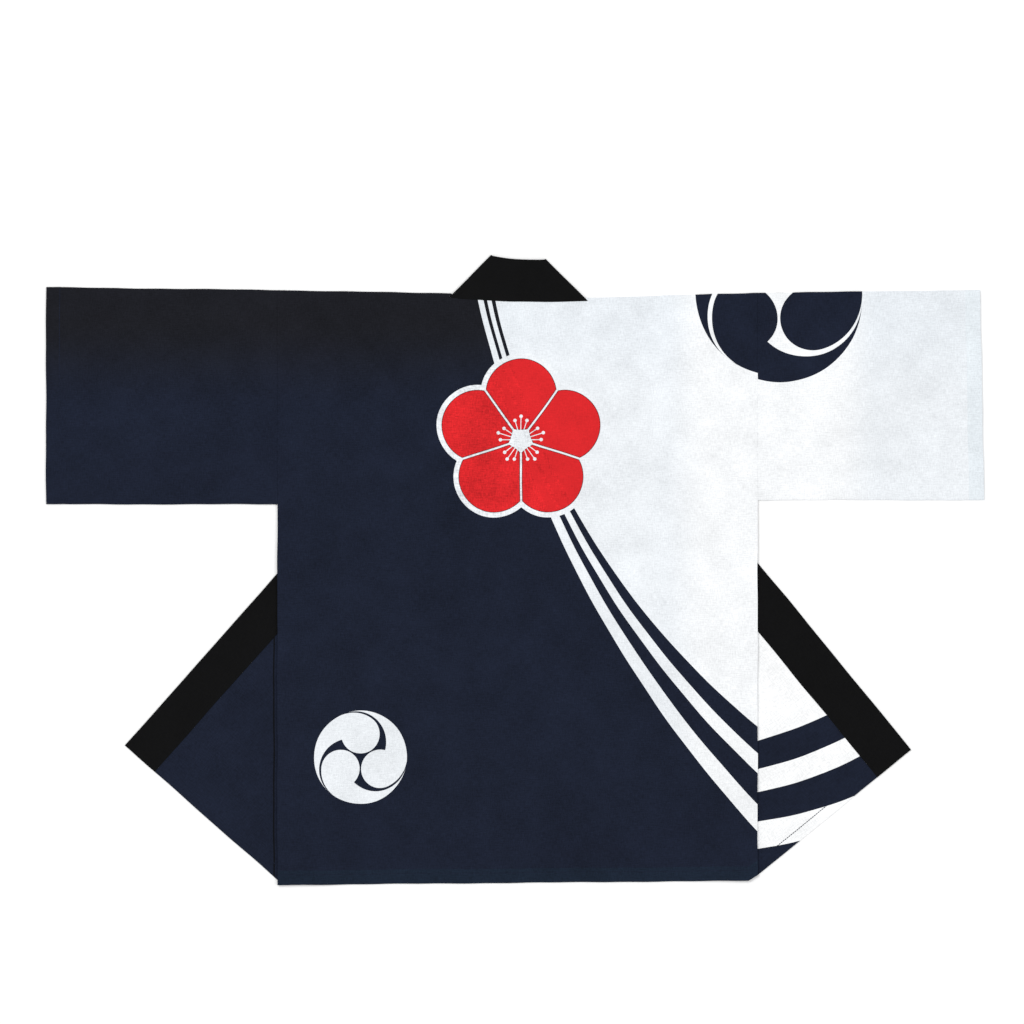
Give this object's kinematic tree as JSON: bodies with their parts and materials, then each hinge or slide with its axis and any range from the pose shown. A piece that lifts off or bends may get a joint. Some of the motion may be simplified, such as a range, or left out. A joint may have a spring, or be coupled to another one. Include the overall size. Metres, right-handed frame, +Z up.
{
  "type": "happi coat",
  "caption": "Short straight-sleeved cotton coat laid flat on its face, with both fronts turned outwards beneath the back and a dark doubled collar.",
  "frame": {"origin": "on the surface that the coat lies on, under the middle of its outline", "axes": "+X from the left cuff to the right cuff, +Y from the hem to the collar, +Z up out of the back of the coat"},
  "size_m": [1.313, 0.8826, 0.0051],
  "materials": {
    "body_cotton": "plain-woven cotton, printed navy on the left and white on the right",
    "sleeve_left_cotton": "plain-woven cotton, printed navy",
    "sleeve_right_cotton": "plain-woven white cotton with part of a printed navy figure",
    "collar_cotton": "close plain-woven black cotton, doubled"
  },
  "bodies": {
    "root": {"body": "body_cotton", "sleeve_left": "sleeve_left_cotton", "sleeve_right": "sleeve_right_cotton", "collar": "collar_cotton"}
  },
  "joints": []
}
